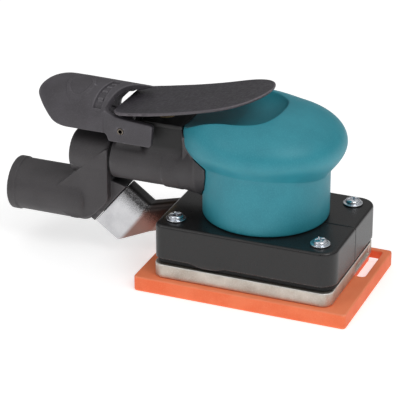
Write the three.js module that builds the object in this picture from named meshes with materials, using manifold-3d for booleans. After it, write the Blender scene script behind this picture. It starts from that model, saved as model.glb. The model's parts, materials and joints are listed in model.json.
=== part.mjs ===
// Air-powered rectangular-pad orbital sander. Millimetres, +Z up, +X towards the front of the pad.
// The origin is the middle of the pad's bottom face. The motor axis stands ORBIT away from it along +Y.
import * as THREE from 'three';
import { mergeVertices } from 'three/addons/utils/BufferGeometryUtils.js';
import { ParametricGeometry } from 'three/addons/geometries/ParametricGeometry.js';
import Module from 'manifold-3d';

const wasm = await Module();
wasm.setup();

// ---- driving dimensions ----
const GAP = 0.3; // clearance between touching pieces
const ORBIT = 1.2; // radius of the pad's circular motion
const PAD = { length: 104.8, width: 71.4, thickness: 7.5, corner: 1.8 };
const PAD_SLOT = { x0: 40.8, x1: 48.6, y0: 4, y1: 33, round: 1.8, relief: 3 };
const PLATE = { length: 87.7, width: 65.4, z0: 7.8, z1: 14.5, corner: 5, rim: 3.2, floor: 2.6 };
const HUB = { radius: 15, bore: 11.1, floor: 13.4, top: 21.6 };
const SHROUD = { x0: -43.4, x1: 45, halfWidth: 32.6, z0: 17.5, z1: 34.7, corner: 8, rearCorner: 4.5, wall: 3.1 };
const SCREW = { x: 35.5, y: 23.5, shank: 1.9, hole: 2.25, flange: 4.7, head: 3.5 };
const MOTOR_Y = ORBIT; // the motor axis crosses y = ORBIT, so that the pad is centred at rest
const CAN = { radius: 27.4, bore: 24.2, z0: 35, z1: 73.2, boreTop: 70.3 };
const GRIP = { radius: 30, z0: 35, bulge: 37.6, pinch: 3, bulgeZ: 71.8, top: 88.3, rearX: -37.4 };
const HANDLE = { z: 51, radius: 10.5, rearX: -75.4 };
const SADDLE = { half: 16.6, z0: 45.8, corner: 6, proud: 0.8 };
const BOSS = { x0: -59, x1: -20, halfWidth: 10.8, top: 76.2 };
const PIN = { x: -67.3, z: 70.2, radius: 1.6, bore: 0.85, halfLength: 14.9 };
const EAR = { inner: 11.5, outer: 14.7 };
const LEVER = { rearX: -70, frontX: 3.2, rearZ: 80.8, halfRear: 18.2, halfFront: 19.3, corner: 4.5, thickness: 1.6 };
const STEM = { x: -50, top: 81.8 };
const REGULATOR_X = -57.6;
const PIPE = { z: 28, radius: 12.8, bore: 10.9, rearX: -129.4 };
const FITTING = { rearX: -96.8, frontX: -76.5, collar: 10.9, bore: 8.6, web: 10.6 };
const NOZZLE = { z: 31, rearX: -97, frontX: -84.6 };
const DUCT = { half: 6, wall: 1.5 };
const ROUND = 28; // sides of the larger round pieces
const FINE = 16; // sides of the smaller ones

// ---- solids ----
function solid(geometry) {
  const bare = geometry.clone();
  bare.deleteAttribute('normal');
  bare.deleteAttribute('uv');
  const merged = mergeVertices(bare, 1e-4);
  const index = Array.from(merged.index.array);
  const position = merged.attributes.position.array;
  let tris = [];
  for (let i = 0; i < index.length; i += 3) {
    const [a, b, c] = [index[i], index[i + 1], index[i + 2]];
    if (a !== b && b !== c && c !== a) tris.push(a, b, c);
  }
  if (signedVolume(position, tris) < 0) {
    tris = tris.map((_, i) => tris[i % 3 === 0 ? i : i % 3 === 1 ? i + 1 : i - 1]);
  }
  return new wasm.Manifold(new wasm.Mesh({
    numProp: 3,
    vertProperties: new Float32Array(position),
    triVerts: new Uint32Array(tris),
  }));
}

function signedVolume(position, tris) {
  const corner = (i) => new THREE.Vector3().fromArray(position, 3 * i);
  let volume = 0;
  for (let i = 0; i < tris.length; i += 3) {
    volume += corner(tris[i]).dot(corner(tris[i + 1]).cross(corner(tris[i + 2])));
  }
  return volume;
}

const join = (...parts) => parts.reduce((a, b) => a.add(b));
const cut = (base, ...tools) => tools.reduce((a, b) => a.subtract(b), base);

function box(x0, x1, y0, y1, z0, z1) {
  const geometry = new THREE.BoxGeometry(x1 - x0, y1 - y0, z1 - z0);
  return solid(geometry.translate((x0 + x1) / 2, (y0 + y1) / 2, (z0 + z1) / 2));
}

// Cylinders along each axis: (radius, low end, high end, the two centre coordinates, sides).
function cylZ(r, z0, z1, x = 0, y = MOTOR_Y, sides = ROUND, r1 = r) {
  const geometry = new THREE.CylinderGeometry(r1, r, z1 - z0, sides);
  return solid(geometry.rotateX(Math.PI / 2).translate(x, y, (z0 + z1) / 2));
}
function cylX(r, x0, x1, y = 0, z = HANDLE.z, sides = ROUND, r1 = r) {
  const geometry = new THREE.CylinderGeometry(r, r1, x1 - x0, sides);
  return solid(geometry.rotateZ(Math.PI / 2).translate((x0 + x1) / 2, y, z));
}
function cylY(r, y0, y1, x, z, sides = FINE) {
  const geometry = new THREE.CylinderGeometry(r, r, y1 - y0, sides);
  return solid(geometry.translate(x, (y0 + y1) / 2, z));
}

// A lathe about the vertical line through (x, y); the profile is [radius, z] pairs.
function turned(profile, x = 0, y = MOTOR_Y, sides = ROUND) {
  const points = profile.map(([r, z]) => new THREE.Vector2(r, z));
  return solid(new THREE.LatheGeometry(points, sides).rotateX(Math.PI / 2).translate(x, y, 0));
}
const ring = (inner, outer, z0, z1, x = 0, y = MOTOR_Y, sides = ROUND) =>
  turned([[inner, z0], [outer, z0], [outer, z1], [inner, z1], [inner, z0]], x, y, sides);

// A rectangle with corner radius r at its front (+X) corners and q at its rear ones.
function roundedShape(x0, x1, y0, y1, r, q = r) {
  const s = new THREE.Shape();
  s.moveTo(x0 + q, y0).lineTo(x1 - r, y0).absarc(x1 - r, y0 + r, r, -Math.PI / 2, 0);
  s.lineTo(x1, y1 - r).absarc(x1 - r, y1 - r, r, 0, Math.PI / 2);
  s.lineTo(x0 + q, y1).absarc(x0 + q, y1 - q, q, Math.PI / 2, Math.PI);
  s.lineTo(x0, y0 + q).absarc(x0 + q, y0 + q, q, Math.PI, 1.5 * Math.PI);
  return s;
}
function prismZ(shape, z0, z1, curveSegments = 4) {
  const options = { depth: z1 - z0, bevelEnabled: false, curveSegments };
  return solid(new THREE.ExtrudeGeometry(shape, options).translate(0, 0, z0));
}
const roundedBlock = (x0, x1, y0, y1, r, z0, z1, q = r) => prismZ(roundedShape(x0, x1, y0, y1, r, q), z0, z1);

// A prism along Y whose outline is [x, z] pairs.
function prismY(outline, y0, y1) {
  const shape = new THREE.Shape(outline.map(([x, z]) => new THREE.Vector2(x, z)));
  const geometry = new THREE.ExtrudeGeometry(shape, { depth: y1 - y0, bevelEnabled: false });
  return solid(geometry.rotateX(Math.PI / 2).translate(0, y1, 0));
}

// A closed surface from a point function of (turn 0..1, height 0..1); height 0 and 1 are single points.
function surface(point, turns, heights) {
  const fill = (u, v, target) => target.copy(point(u, v));
  return solid(new ParametricGeometry(fill, turns, heights));
}

// A loft along X through stations {x, z, ry, rz, n}: superellipses of power n, closed by flat ends.
function loftX(stations, turns = 36) {
  const last = stations.length + 1;
  return surface((u, v) => {
    const k = Math.round(v * last);
    const s = stations[Math.min(Math.max(k - 1, 0), stations.length - 1)];
    const open = k === 0 || k === last ? 0 : 1;
    const a = u * 2 * Math.PI;
    const bend = (c) => Math.sign(c) * Math.abs(c) ** (2 / s.n);
    const y = open * s.ry * bend(Math.cos(a));
    return new THREE.Vector3(s.x, y + (s.y ?? 0), s.z + open * s.rz * bend(Math.sin(a)));
  }, turns, last);
}

// A block whose eight corners are given as two facing quads [a, b, c, d] of [x, y, z].
function wedge(near, far) {
  const at = (p) => new THREE.Vector3(...p);
  const geometry = new THREE.BoxGeometry(1, 1, 1);
  const position = geometry.attributes.position;
  for (let i = 0; i < position.count; i++) {
    const quad = position.getX(i) < 0 ? near : far;
    const k = (position.getZ(i) < 0 ? 0 : 3) + (position.getY(i) < 0 ? 0 : position.getZ(i) < 0 ? 1 : -1);
    position.setXYZ(i, ...at(quad[k]).toArray());
  }
  return solid(geometry);
}

// ---- materials ----
const paint = (color, roughness, metalness = 0) =>
  new THREE.MeshStandardMaterial({ color, roughness, metalness });
const ORANGE = paint(0xef7546, 0.75);
const TEAL = paint(0x3f8f9c, 0.7);
const BLACK = paint(0x35332f, 0.55);
const DARK = paint(0x3c3a3d, 0.5);
const LEVER_BLACK = paint(0x37343b, 0.5);
const RUBBER = paint(0x1d1d1e, 0.85);
const CAST = paint(0xc9c5c0, 0.35, 0.9);
const STEEL = paint(0xb8bcc2, 0.25, 1);
const ZINC = paint(0xd8dce2, 0.2, 1);
const BRASS = paint(0xc9a24a, 0.3, 1);
const PHENOLIC = paint(0x7a4a28, 0.7);

const sander = new THREE.Group();
function piece(name, body, material) {
  const mesh = body.getMesh();
  const geometry = new THREE.BufferGeometry();
  geometry.setAttribute('position', new THREE.BufferAttribute(mesh.vertProperties, 3));
  geometry.setIndex(new THREE.BufferAttribute(mesh.triVerts, 1));
  geometry.computeVertexNormals();
  const made = new THREE.Mesh(geometry, material);
  made.name = name;
  sander.add(made);
}

const CORNERS = [[-1, -1], [1, -1], [1, 1], [-1, 1]];
function atCorners(make) {
  CORNERS.forEach(([sx, sy], i) => make(sx * SCREW.x, sy * SCREW.y, i + 1));
}

// ---- pad, backing plate and its bearing: they all orbit together ----
function buildPad() {
  const [l, w] = [PAD.length / 2, PAD.width / 2];
  const { x0, x1, y0, y1, round, relief } = PAD_SLOT;
  const slot = roundedBlock(x0, x1, y0, y1, round, -1, PAD.thickness + 1);
  const runOut = box(x0, x1, y1 - 3, w + 1, -1, relief); // the slot's low end opens under the far edge
  piece('sanding_pad', cut(roundedBlock(-l, l, -w, w, PAD.corner, 0, PAD.thickness), slot, runOut), ORANGE);
}

function buildPlate() {
  const [l, w, r] = [PLATE.length / 2, PLATE.width / 2, PLATE.rim];
  const floorZ = PLATE.z0 + PLATE.floor;
  let plate = roundedBlock(-l, l, -w, w, PLATE.corner, PLATE.z0, PLATE.z1);
  plate = cut(plate, roundedBlock(-l + r, l - r, -w + r, w - r, 3, floorZ, PLATE.z1 + 1));
  plate = join(plate, cylZ(HUB.radius, floorZ - 1, HUB.top, 0, 0));
  plate = cut(plate, cylZ(HUB.bore, HUB.floor, HUB.top + 1, 0, 0));
  plate = cut(plate, box(l - 1.1, l + 1, 4, w - 8, PLATE.z0 + 1.4, PLATE.z1 - 1.2));
  atCorners((x, y) => {
    plate = cut(plate, cylZ(2.2, PLATE.z0 - 1, floorZ + 1, x, y, FINE));
    plate = cut(plate, cylZ(4.2, PLATE.z0 - 0.5, PLATE.z0 + 1.3, x, y, FINE));
  });
  piece('pad_plate', plate, CAST);
  atCorners((x, y, i) => {
    const screw = join(cylZ(3.8, PLATE.z0 + 0.1, PLATE.z0 + 1.1, x, y, 12), cylZ(1.8, 8.5, 17, x, y, 12));
    piece(`leg_screw_${i}`, screw, STEEL);
  });
  piece('pad_bearing', ring(4.05, HUB.bore - 0.1, HUB.floor + GAP, 20.2, 0, 0, ROUND), STEEL);
  piece('pad_bearing_clip', ring(8.2, HUB.bore - 0.1, 20.5, 21.3, 0, 0, ROUND), RUBBER);
}

// ---- shroud, seal, corner screws and the four flexible legs that carry the pad ----
function buildShroud() {
  const { x0, x1, halfWidth: h, z0, z1, corner, rearCorner, wall } = SHROUD;
  const roof = z1 - 3.5;
  const bevel = 1.2;
  let shroud = join(
    roundedBlock(x0, x1, -h, h, corner, z0, z1 - bevel, rearCorner),
    roundedBlock(x0 + bevel, x1 - bevel, -h + bevel, h - bevel, corner, z1 - bevel - 0.01, z1, rearCorner),
  );
  shroud = cut(shroud, roundedBlock(x0 + wall, x1 - wall, -h + wall, h - wall, 5, z0 - 1, roof, 3));
  shroud = cut(shroud, cylZ(24.5, roof - 1, z1 + 1));
  for (const side of [-1, 1]) {
    const lip = side * (h - 0.7);
    shroud = join(shroud, box(-25, -8, lip - 0.7, lip + 0.7, z0 - 1.6, z0 + 2));
  }
  atCorners((x, y) => {
    shroud = cut(shroud, cylZ(SCREW.hole, roof - 1, z1 + 1, x, y, FINE));
  });
  shroud = cut(shroud, box(x0 - 1, x0 + wall + 1, 0, 8.4, z0 + 2.4, z1 - 4.6));
  piece('base_shroud', shroud, BLACK);
}

function buildSeal() {
  const [z0, z1] = [PLATE.z1 + GAP, SHROUD.z0 - GAP];
  const outer = roundedBlock(SHROUD.x0 + 0.8, SHROUD.x1 - 0.8, -31, 31, 7, z0, z1, 4);
  const inner = roundedBlock(SHROUD.x0 + 2.4, SHROUD.x1 - 2.4, -29.4, 29.4, 5.4, z0 - 1, z1 + 1, 3);
  piece('shroud_seal', cut(outer, inner), RUBBER);
}

function buildLegsAndScrews() {
  const foot = PLATE.z0 + PLATE.floor + GAP;
  const roof = SHROUD.z1 - 3.5 - GAP;
  atCorners((x, y, i) => {
    const waist = [[0, foot], [4, foot], [4, foot + 3], [3.4, foot + 5]];
    let leg = turned([...waist, [3.4, roof - 5], [4, roof - 3], [4, roof], [0, roof]], x, y, 14);
    leg = cut(leg, cylZ(2.1, foot - 1, 17.6, x, y, 12), cylZ(2.2, 23, roof + 1, x, y, 12));
    piece(`flex_leg_${i}`, leg, RUBBER);
    const z = SHROUD.z1 + 0.15;
    const head = [[0, 24], [SCREW.shank, 24], [SCREW.shank, z], [SCREW.flange, z], [SCREW.flange, z + 0.9]];
    const dome = [[SCREW.head, z + 1.1], [SCREW.head, z + 1.8], [2.7, z + 2.5], [0, z + 2.85]];
    let screw = turned([...head, ...dome], x, y, 16);
    const turn = Math.PI / 5;
    for (const quarter of [0, 1]) {
      const wing = new THREE.BoxGeometry(4.4, 0.8, 3).rotateZ(turn + quarter * Math.PI / 2);
      screw = cut(screw, solid(wing.translate(x, y, z + 2.8)));
    }
    piece(`shroud_screw_${i}`, screw, ZINC);
  });
}

// ---- grip: the soft cover over the motor, with a bowl for the lever ----
const lipHeight = (a) => 63.5 - 4.8 * Math.abs(Math.cos(a)) ** 3.6;
const rearness = (a) => {
  const t = Math.min(Math.max((Math.abs(Math.atan2(Math.sin(a), Math.cos(a))) - 1.2) / 1.2, 0), 1);
  return t * t * (3 - 2 * t);
};

// The grip's outer skin, grown by `extra`: straight wall, soft undercut, then the palm dome.
const GRIP_TURNS = 40;
function gripSkin(extra, turns, top = GRIP.top) {
  const bulgeAt = (a) => GRIP.bulge + extra - GRIP.pinch * Math.sin(a) ** 2 + 1.6 * rearness(a);
  const wall = GRIP.radius + extra;
  return surface((u, v) => {
    const a = u * 2 * Math.PI;
    const power = 2.35 + 2.6 * rearness(a);
    let [r, z] = [0, GRIP.z0];
    if (v > 0.01 && v < 0.12) r = wall;
    else if (v < 0.21 && v > 0.01) [r, z] = [wall, lipHeight(a)];
    else if (v < 0.55 && v > 0.01) {
      const t = (v - 0.2) / 0.35;
      [r, z] = [wall + (bulgeAt(a) - wall) * Math.sin((t * Math.PI) / 2), lipHeight(a) + (GRIP.bulgeZ - lipHeight(a)) * t];
    } else if (v > 0.01) {
      const s = Math.cos(((v - 0.55) / 0.45) * Math.PI / 2);
      r = bulgeAt(a) * s;
      z = GRIP.bulgeZ + (top + extra - GRIP.bulgeZ) * (1 - s ** power) ** (1 / 2.05);
    }
    if (v > 0.999) r = 0;
    return new THREE.Vector3(r * Math.cos(a), MOTOR_Y + r * Math.sin(a), z);
  }, turns, 18);
}

// The bowl under the lever: half an ellipsoid ahead of BOWL.x, stretched and falling away behind it.
const BOWL = { x: -14, z: 92, front: 23, rear: 62, half: 23.2, depth: 14, fall: 0.13, power: 2.5 };
function leverBowl() {
  const geometry = new THREE.SphereGeometry(1, 32, 16).rotateX(Math.PI / 2);
  const position = geometry.attributes.position;
  for (let i = 0; i < position.count; i++) {
    const p = new THREE.Vector3().fromBufferAttribute(position, i);
    const size = [p.x, p.y, p.z].reduce((sum, c) => sum + Math.abs(c) ** BOWL.power, 0) ** (1 / BOWL.power);
    const { x, y, z } = p.divideScalar(size);
    const along = x * (x > 0 ? BOWL.front : BOWL.rear);
    const drop = along < 0 ? -along * BOWL.fall : 0;
    position.setXYZ(i, BOWL.x + along, y * BOWL.half, BOWL.z + z * BOWL.depth - drop);
  }
  return solid(geometry);
}

function buildGrip() {
  const clear = CAN.radius + 0.4;
  let grip = gripSkin(0, GRIP_TURNS);
  grip = cut(grip, cylZ(clear, GRIP.z0 - 1, CAN.z1 + GAP), leverBowl());
  grip = cut(grip, box(-60, GRIP.rearX, -50, 50, 30, 100));
  grip = cut(grip, saddleBar(0));
  piece('grip_cover', grip, TEAL);
}

// The bar along X that the saddle flange fills: round lower corners, and level with the can on top.
function saddleBar(shrink) {
  const top = CAN.z1 + GAP - shrink;
  const [half, z0, r] = [SADDLE.half - shrink, SADDLE.z0 + shrink, SADDLE.corner - shrink];
  const section = new THREE.Shape();
  section.moveTo(half, top).lineTo(-half, top);
  section.absarc(-half + r, z0 + r, r, Math.PI, 1.5 * Math.PI).absarc(half - r, z0 + r, r, -Math.PI / 2, 0);
  const geometry = new THREE.ExtrudeGeometry(section, { depth: 46, bevelEnabled: false, curveSegments: 5 });
  return solid(geometry.rotateX(Math.PI / 2).rotateZ(Math.PI / 2).translate(-60, 0, 0));
}

// ---- motor housing: can, handle, saddle flange, valve boss and pin boss in one moulding ----
function buildHousing() {
  let housing = turned([[0, CAN.z0], [CAN.radius, CAN.z0], [CAN.radius, CAN.z1 - 2], [CAN.radius - 2, CAN.z1], [0, CAN.z1]]);
  const skin = gripSkin(SADDLE.proud, GRIP_TURNS);
  const flange = cut(saddleBar(GAP).intersect(skin), box(-20, 60, -60, 60, 0, 120));
  const flare = loftX([-48, -44, -40, -36, -32, -29, -22].map((x) => {
    const t = Math.min(Math.max((x + 46) / 17, 0), 1);
    const grown = HANDLE.radius + 8.2 * t * t;
    return { x, z: HANDLE.z + 7.4 * t * t, ry: grown, rz: grown, n: 2 };
  }), 28);
  const gripRoom = cut(gripSkin(GAP, GRIP_TURNS), saddleBar(GAP), box(-60, GRIP.rearX - GAP, -60, 60, 0, 120));
  const handle = cylX(HANDLE.radius, HANDLE.rearX, -40);
  const half = BOSS.halfWidth;
  const boss = join(
    roundedBlock(BOSS.x0, GRIP.rearX - 0.2, -half, half, 2.5, HANDLE.z, BOSS.top),
    box(-42, BOSS.x1, -half, half, HANDLE.z, CAN.z1 - 0.1),
  );
  const pinBoss = prismY([[-74, 55], [-60, 55], [-62.5, 73.6], [-71.5, 73.6]], -6.6, 6.6);
  housing = join(housing, flange, cut(flare, gripRoom), handle, boss, pinBoss);
  const cavity = [
    cylZ(CAN.bore, CAN.z0 - 1, CAN.boreTop),
    cylX(8.3, HANDLE.rearX - 1, -60),
    cylX(5.2, -61, -46),
    cylX(2.6, -47, -22, 0, HANDLE.z + 5.5, 16),
    cylZ(5.5, 37, 56, STEM.x, 0, FINE),
    cylZ(2.3, 55, 72, STEM.x, 0, FINE),
    cylZ(4.2, 70.2, BOSS.top + 1, STEM.x, 0, FINE),
    cylY(1.75, -8, 8, PIN.x, PIN.z),
    cylY(3.7, 5, 12, REGULATOR_X, HANDLE.z),
    box(REGULATOR_X - 5, REGULATOR_X + 5, 10.6, 13, HANDLE.z - 5, HANDLE.z + 5),
  ];
  piece('motor_housing', cut(housing, ...cavity), DARK);
}
// ---- air motor ----
function buildMotor() {
  const linerShift = 1.9;
  let liner = cylZ(CAN.bore - 0.2, 46.2, 63.2);
  liner = cut(liner, cylZ(18.5, 45, 64, 0, MOTOR_Y + linerShift));
  for (const x of [-1, 1]) liner = cut(liner, cylX(1.6, x * 21 - 5, x * 21 + 5, MOTOR_Y, 56.5, 12));
  piece('cylinder', liner, STEEL);
  piece('end_plate_upper', cut(cylZ(CAN.bore - 0.2, 63.5, 69.9), cylZ(9.6, 64.9, 71), cylZ(4.6, 63, 66)), PHENOLIC);
  piece('end_plate_lower', cut(cylZ(CAN.bore - 0.2, 39.6, 45.9), cylZ(11.1, 39, 44.6), cylZ(4.8, 44, 47)), PHENOLIC);
  piece('bearing_upper', ring(3.05, 9.5, 65.2, 69.7, 0, MOTOR_Y, ROUND), STEEL);
  piece('bearing_lower', ring(4.05, 11, 39.7, 44.3, 0, MOTOR_Y, ROUND), STEEL);
  const lock = [[19.6, 28.6], [27.6, 28.6], [27.6, 30.9], [24, 30.9], [24, 39.3], [19.6, 39.3], [19.6, 28.6]];
  piece('lock_ring', turned(lock), CAST);
}

// ---- rotor group: it spins about the motor axis, and its crank pin carries the pad's bearing ----
function buildRotor() {
  let rotor = cut(cylZ(16.3, 46.6, 62.8), cylZ(4.2, 46, 64, 0, MOTOR_Y, ROUND));
  const vanes = 4;
  for (let i = 0; i < vanes; i++) {
    const turn = Math.PI / 4 + (i * 2 * Math.PI) / vanes;
    const slab = (from, to, thick, z0, z1) =>
      solid(new THREE.BoxGeometry(to - from, thick, z1 - z0).translate((from + to) / 2, 0, (z0 + z1) / 2)
        .rotateZ(turn).translate(0, MOTOR_Y, 0));
    rotor = cut(rotor, slab(8.5, 18, 1.9, 46, 64));
    piece(`vane_${i + 1}`, slab(8.8, 15.9, 1.3, 46.8, 62.6), PHENOLIC);
  }
  piece('rotor', rotor, STEEL);
  const shaft = join(
    cylZ(3.95, 22.2, 64.4, 0, MOTOR_Y, ROUND),
    cylZ(2.95, 64.3, 69.5, 0, MOTOR_Y, ROUND),
    cylZ(3.95, 14, 23, 0, 0, ROUND),
  );
  piece('crankshaft', shaft, STEEL);
  const half = cut(cylZ(17.6, 23.4, 31), box(-20, 20, MOTOR_Y - 20, MOTOR_Y + 3, 22, 32));
  const weight = cut(join(cylZ(7.5, 23.4, 31), half), cylZ(4.2, 22, 32, 0, MOTOR_Y, ROUND));
  piece('counterweight', weight, BRASS);
}

// ---- throttle: guard, hinge pin, lever ----
function guardShell(shrink) {
  const crown = { x0: -115.2, x1: -56, base: 68.5, half: 15.4, top: 88.2 };
  const nose = 15.5;
  const stations = [];
  for (let i = 0; i <= 8; i++) {
    const a = (i / 8) * Math.PI / 2;
    const s = Math.max(Math.sin(a), 0.06);
    stations.push({ x: crown.x0 + shrink + nose * (1 - Math.cos(a)), s });
  }
  for (const x of [-92, -82, -74, crown.x1 + shrink]) stations.push({ x, s: 1 });
  const skin = stations.map(({ x, s }) => {
    const sink = x > -92 ? (x + 92) * 0.02 : 0;
    const rise = (1 - s) * 8;
    const half = crown.top - sink - crown.base;
    return {
      x, z: crown.base + rise, n: 2.5,
      ry: Math.max(crown.half * s ** 0.8 - shrink, 0.4), rz: Math.max((half - rise) * s ** 0.5 - shrink, 0.4),
    };
  });
  return loftX(skin, 36);
}

function buildGuard() {
  const wall = 2.9;
  const underside = [[-40, 68.5], [-97, 68.5], [-102, 70.2], [-107, 75.5], [-112, 80], [-130, 84]];
  const bottom = prismY([[-130, 40], [-40, 40], ...underside], -30, 30);
  let shell = cut(guardShell(0), guardShell(wall), bottom);
  const mouth = new THREE.Shape();
  mouth.moveTo(-40, -30).lineTo(-76, -30).lineTo(-76, -14).splineThru([[-71.7, -5.5], [-69.5, 0], [-63, 6], [-52, 9]]
    .map(([x, y]) => new THREE.Vector2(x, y))).lineTo(-40, 10);
  const farWindow = [[-40, 60], [-80, 60], [-79.8, 72.5], [-79, 74.6], [-73.5, 80.3], [-71.4, 80.6], [-67.5, 83.4],
    [-61, 85.2], [-40, 85.8]];
  shell = cut(shell, prismZ(mouth, 60, 100), prismY(farWindow, 0, 30));
  const toe = [[-73.6, 64.4], [-52.9, 64.2], [-51.9, 65.2]];
  const nearFoot = [[-86, 68.6], [-76, 68.5], [-74.6, 67.3], ...toe];
  const farFoot = [[-93, 69.5], [-89, 65.4], ...toe];
  const nearTop = [[-51.1, 74.6], [-52.2, 75.4], [-69.5, 77], [-73.5, 78.4], [-75.4, 80], [-80, 76], [-86, 71.5]];
  const farTop = [[-51.1, 73.9], [-52.2, 74.6], [-68, 74.8], [-72, 73], [-75, 69.9], [-80, 69.3], [-86, 71.5]];
  shell = join(
    shell,
    prismY([...nearFoot, ...nearTop], -EAR.outer, -EAR.inner),
    prismY([...farFoot, ...farTop], EAR.inner, EAR.outer),
  );
  piece('lever_guard', cut(shell, cylY(1.7, -20, 20, PIN.x, PIN.z)), DARK);
  const { x, z, radius, bore, halfLength } = PIN;
  piece('lever_pin', cut(cylY(radius, -halfLength, halfLength, x, z, 20), cylY(bore, -20, 20, x, z, 12)), STEEL);
}

const leverRise = (s) => LEVER.rearZ + 0.12 * s + 0.00147 * s * s;
function leverHalf(x) {
  const taper = Math.min(1, (x - LEVER.rearX) / 20);
  const straight = LEVER.halfRear + (LEVER.halfFront - LEVER.halfRear) * taper;
  const nose = 22;
  const t = Math.max(0, (x - (LEVER.frontX - nose)) / nose);
  return straight * Math.sqrt(Math.max(0, 1 - t ** 2.1));
}

function buildLever() {
  const { rearX, frontX, thickness, corner } = LEVER;
  const steps = 20;
  const edge = [];
  for (let i = 0; i <= steps; i++) {
    const x = rearX + corner + (frontX - rearX - corner) * Math.sin((i / steps) * Math.PI / 2);
    edge.push([x, leverHalf(x)]);
  }
  const start = edge[0][1];
  const outline = new THREE.Shape();
  outline.absarc(rearX + corner, -start + corner, corner, Math.PI, 1.5 * Math.PI);
  edge.slice(1).forEach(([x, h]) => outline.lineTo(x, -h));
  edge.slice(1, -1).reverse().forEach(([x, h]) => outline.lineTo(x, h));
  outline.absarc(rearX + corner, start - corner, corner, Math.PI / 2, Math.PI);
  const top = (x) => leverRise(x - rearX);
  const side = [];
  const bends = 14;
  for (let i = 0; i <= bends; i++) {
    const x = rearX - 0.5 + (frontX - rearX + 1) * (i / bends);
    side.push([x, top(x)]);
  }
  const under = side.map(([x, z]) => [x, z - thickness]).reverse();
  const sheet = prismY([...side, ...under], -30, 30);
  let lever = sheet.intersect(prismZ(outline, 60, 110));
  const lug = [[-69.4, 67.5], [-65.4, 67.5], [-60.4, 81], [-68.6, 80]];
  for (const side of [-1, 1]) {
    const [a, b] = [7.1 * side, 10.7 * side].sort((p, q) => p - q);
    lever = join(lever, prismY(lug, a, b), cylY(3.4, a, b, PIN.x, PIN.z, 20));
  }
  lever = cut(lever, cylY(1.7, -20, 20, PIN.x, PIN.z, 20));
  piece('throttle_lever', lever, LEVER_BLACK);
}

// ---- throttle valve under the lever, and the speed regulator on the far side ----
function buildValve() {
  const x = STEM.x;
  const stem = [[0, 47.8], [3.9, 47.8], [3.9, 50], [1.5, 51.6], [1.5, STEM.top - 1], [1, STEM.top - 0.3], [0, STEM.top]];
  piece('valve_stem', turned(stem, x, 0, FINE), STEEL);
  piece('valve_bushing', ring(1.6, 4.1, 70.5, 75.9, x, 0, FINE), BRASS);
  piece('valve_seat', ring(2.9, 5.2, 52.2, 54.4, x, 0, FINE), BRASS);
  piece('valve_plug', join(cylZ(5.2, 42.2, 44.2, x, 0, FINE), cylZ(1.6, 44.1, 45.4, x, 0, 12)), BRASS);
  const points = [];
  const [turns, radius, z0, z1] = [2, 2.9, 44.9, 47.1];
  for (let i = 0; i <= turns * 8; i++) {
    const a = (i / 8) * 2 * Math.PI;
    const z = z0 + ((z1 - z0) * i) / (turns * 8);
    points.push(new THREE.Vector3(x + radius * Math.cos(a), radius * Math.sin(a), z));
  }
  const wire = new THREE.Shape().absarc(0, 0, 0.32, 0, 2 * Math.PI);
  const path = new THREE.CatmullRomCurve3(points);
  const coil = new THREE.ExtrudeGeometry(wire, { steps: turns * 10, extrudePath: path, curveSegments: 3 });
  piece('valve_spring', solid(coil), STEEL);
  const [rx, rz] = [REGULATOR_X, HANDLE.z];
  const slot = box(rx - 3, rx + 3, 11.8, 14, rz - 0.6, rz + 0.6);
  piece('speed_regulator', cut(join(cylY(3.4, 6, 11.3, rx, rz), cylY(4.5, 11.2, 13, rx, rz)), slot), BRASS);
}

// ---- inlet, vacuum fitting and its duct ----
function buildInlet() {
  const bushing = [[5.7, 0], [8.1, 0], [8.1, 28], [6.4, 28], [5.7, 26.5]];
  const points = [...bushing, bushing[0]].map(([r, d]) => new THREE.Vector2(r, d));
  const turnedX = new THREE.LatheGeometry(points, 32).rotateZ(Math.PI / 2).translate(-67.6, 0, HANDLE.z);
  piece('inlet_bushing', solid(turnedX), STEEL);
  piece('inlet_screen', cut(cylX(7.6, -66.8, -62, 0, HANDLE.z, FINE), cylX(6.6, -68, -63, 0, HANDLE.z, FINE)), BRASS);
  piece('collar_ring', cut(cylX(10.1, -76.2, -75.7), cylX(8.7, -78, -75)), RUBBER);
}

const MITRE_TOP = [-57.4, 29.6];
const MITRE_BOTTOM = [-73.9, 8.6];
const JOINT_TOP = [-68.4, 37.8];
const JOINT_BOTTOM = [-85.2, 17.2];

function buildFitting() {
  const { rearX, frontX } = FITTING;
  const cap = join(cylX(FITTING.collar, rearX, frontX), cylX(10, rearX - 0.7, rearX + 0.1));
  const pipe = join(cylX(PIPE.radius, PIPE.rearX + 0.8, -92, 0, PIPE.z), cylX(12, PIPE.rearX, -110, 0, PIPE.z));
  const shoulder = cylX(PIPE.radius, -92.01, -84, 0, PIPE.z, ROUND, 7);
  const web = prismY([[-106.6, 32.2], [-81.4, 54.6], [-78, 57], [frontX, 57.8], [frontX, 30.5], [-86, 20.6], [-94, 18.6]],
    -FITTING.web, FITTING.web);
  const neckOutline = [[-96, 24], [-84, 42], [frontX - 0.1, 42], [frontX, 40.1], [JOINT_TOP[0] - 0.25, JOINT_TOP[1] + 0.2],
    [JOINT_BOTTOM[0] - 0.25, JOINT_BOTTOM[1] + 0.2]];
  const neck = prismY(neckOutline, -DUCT.half - 0.5, DUCT.half + 0.5);
  let fitting = join(cap, pipe, shoulder, web, neck);
  fitting = cut(fitting, cylX(FITTING.bore, -110, -70));
  fitting = cut(fitting, cylX(PIPE.bore, PIPE.rearX - 1, -95, 0, PIPE.z));
  fitting = cut(fitting, cylX(PIPE.bore, -95.01, -86, 0, PIPE.z, ROUND, 5));
  const passage = [[-93, 20], [-79, 34.6], [-66, 38.6], [-83.5, 15]];
  fitting = cut(fitting, prismY(passage, -4.4, 4.4));
  fitting = cut(fitting, cylX(2.2, -88, NOZZLE.frontX + GAP, 0, NOZZLE.z, FINE), nozzleFeed());
  piece('vacuum_fitting', fitting, DARK);
}

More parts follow.
